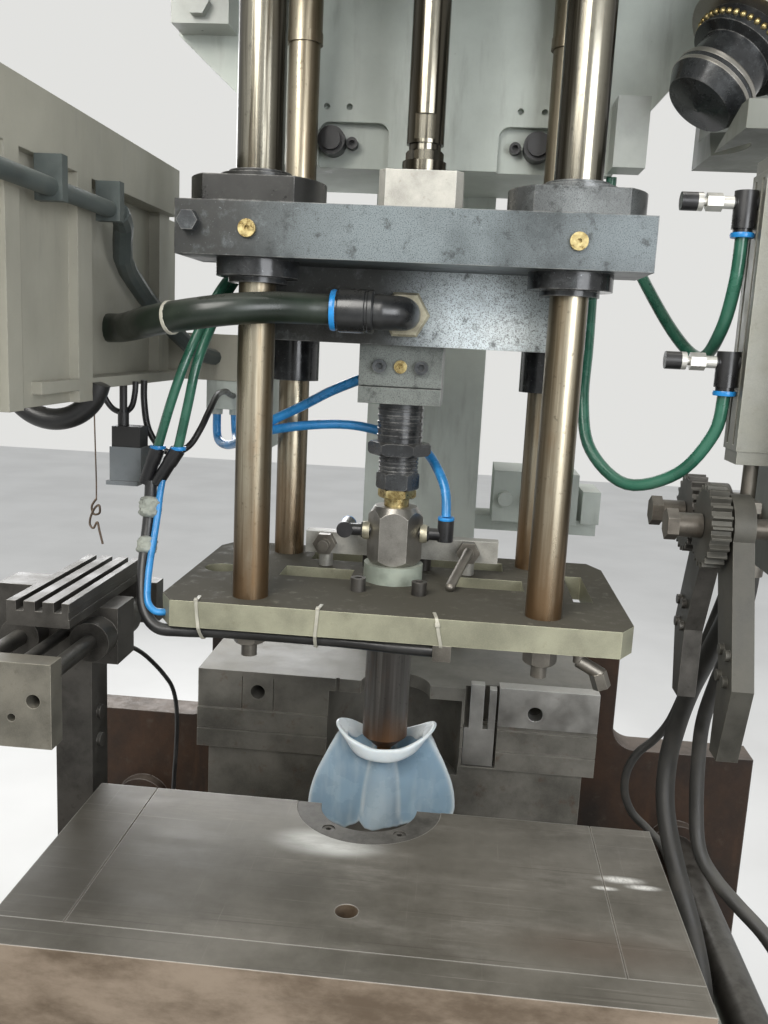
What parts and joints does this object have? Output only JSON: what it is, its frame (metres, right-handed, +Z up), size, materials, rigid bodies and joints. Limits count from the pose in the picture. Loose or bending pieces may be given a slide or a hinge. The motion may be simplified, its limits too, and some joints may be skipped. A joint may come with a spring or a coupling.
{
  "type": "blow moulding machine",
  "caption": "Blow moulding machine station: blow pin crosshead on guide rods, stripper plate, opening mould halves and take-out arms.",
  "frame": {"origin": "floor under the machine, midway between the four columns", "axes": "+X to the right seen from the front, +Y to the rear, +Z up along the columns"},
  "size_m": [1.196, 1.54, 2.397],
  "materials": {
    "green_paint": "worn",
    "grey_paint": "dusty",
    "pale_paint": "dusty",
    "bright_steel": "ground",
    "chromed_rod": "polished",
    "rod_steel": "stained",
    "pin_steel": "dark",
    "worn_steel": "worn",
    "rusty_steel": "rusty",
    "mould_steel": "worn",
    "olive_steel": "oiled",
    "black_oxide": "satin",
    "black_coat": "satin",
    "aluminium": "worn",
    "brass": "worn",
    "black_plastic": "gloss",
    "dark_plastic": "matte",
    "milky_plastic": "translucent",
    "nylon": "waxy",
    "hose_green": "oily",
    "hose_black": "oily",
    "tube_blue": "gloss",
    "tube_green": "gloss"
  },
  "bodies": {
    "machine": {"bed": "green_paint", "tie_bars": "bright_steel", "clamp_cylinders": "black_coat", "spine": "grey_paint", "head_frame": "grey_paint", "head_top": "grey_paint", "head_bushes": "black_coat", "main_cylinder": "bright_steel", "head_fittings": "black_plastic", "air_manifolds": "grey_paint", "drive_motor": "black_coat", "left_frame": "pale_paint", "beam_conduit": "dark_plastic", "limit_switch": "dark_plastic", "slide_body": "worn_steel", "side_support": "grey_paint", "side_cylinder": "aluminium", "flow_controls": "black_plastic", "arm_pivots": "rusty_steel", "green_tubes": "tube_green"},
    "carriage": {"crosshead_bar": "black_oxide", "yoke_block": "black_oxide", "upper_flanges": "black_oxide", "guide_rods": "chromed_rod", "rod_bushes": "black_oxide", "head_adapter": "aluminium", "piston_rod": "chromed_rod", "grease_plugs": "brass", "hose_elbow": "black_plastic", "clamp_block": "black_oxide", "clamp_screws": "black_oxide", "pin_shank": "black_oxide", "lock_nuts": "black_oxide", "brass_nut": "brass", "union_body": "worn_steel", "air_elbows": "black_plastic", "blow_pin": "pin_steel", "moil": "milky_plastic", "main_hose": "hose_green", "air_tubes": "tube_blue"},
    "stripper": {"stripper_plate": "olive_steel", "stripper_rods": "rod_steel", "rod_nuts": "worn_steel", "nylon_bush": "nylon", "bush_screws": "black_oxide", "cross_bar": "aluminium", "cross_bar_bolts": "worn_steel", "plate_fittings": "worn_steel", "plate_hoses": "hose_black"},
    "clamp_front": {"front_mould": "mould_steel", "front_platen": "rusty_steel", "striker_ring": "black_oxide"},
    "clamp_rear": {"rear_mould": "mould_steel", "rear_platen": "rusty_steel", "rear_fittings": "worn_steel"},
    "slide_left": {"slide_block": "aluminium", "slide_shafts": "worn_steel"},
    "arm_front": {"front_arm": "worn_steel"},
    "arm_rear": {"rear_arm": "worn_steel"},
    "arm_rod": {"rod_yoke": "worn_steel"}
  },
  "joints": [
    {"name": "crosshead_lift", "type": "slide", "parent": "machine", "child": "carriage", "axis": [0, 0, 1], "range_m": [-0.025, 0.085], "deforming": ["main_hose", "air_tubes", "plate_hoses"]},
    {"name": "stripper_slide", "type": "slide", "parent": "carriage", "child": "stripper", "axis": [0, 0, 1], "range_m": [-0.095, 0], "deforming": ["plate_hoses"]},
    {"name": "front_clamp", "type": "slide", "parent": "machine", "child": "clamp_front", "axis": [0, 1, 0], "range_m": [0, 0.1875], "deforming": ["moil"]},
    {"name": "rear_clamp", "type": "slide", "parent": "machine", "child": "clamp_rear", "axis": [0, 1, 0], "range_m": [-0.1875, 0], "deforming": ["moil"]},
    {"name": "left_slide", "type": "slide", "parent": "machine", "child": "slide_left", "axis": [0, 1, 0], "range_m": [-0.04, 0.035]},
    {"name": "front_arm_swing", "type": "hinge", "parent": "machine", "child": "arm_front", "pos_m": [0.345, -0.13, 1.325], "axis": [1, 0, 0], "range_deg": [-5, 18]},
    {"name": "rear_arm_swing", "type": "hinge", "parent": "machine", "child": "arm_rear", "pos_m": [0.345, -0.046, 1.325], "axis": [1, 0, 0], "range_deg": [-18, 5]},
    {"name": "arm_rod_slide", "type": "slide", "parent": "machine", "child": "arm_rod", "axis": [0, 0, 1], "range_m": [-0.0026, 0.0091]}
  ],
  "couplings": [
    {"joint": "rear_clamp", "follows": "front_clamp", "ratio": -1},
    {"joint": "rear_arm_swing", "follows": "front_arm_swing", "ratio": -1},
    {"joint": "arm_rod_slide", "follows": "front_arm_swing", "m_per_rad": 0.028}
  ]
}
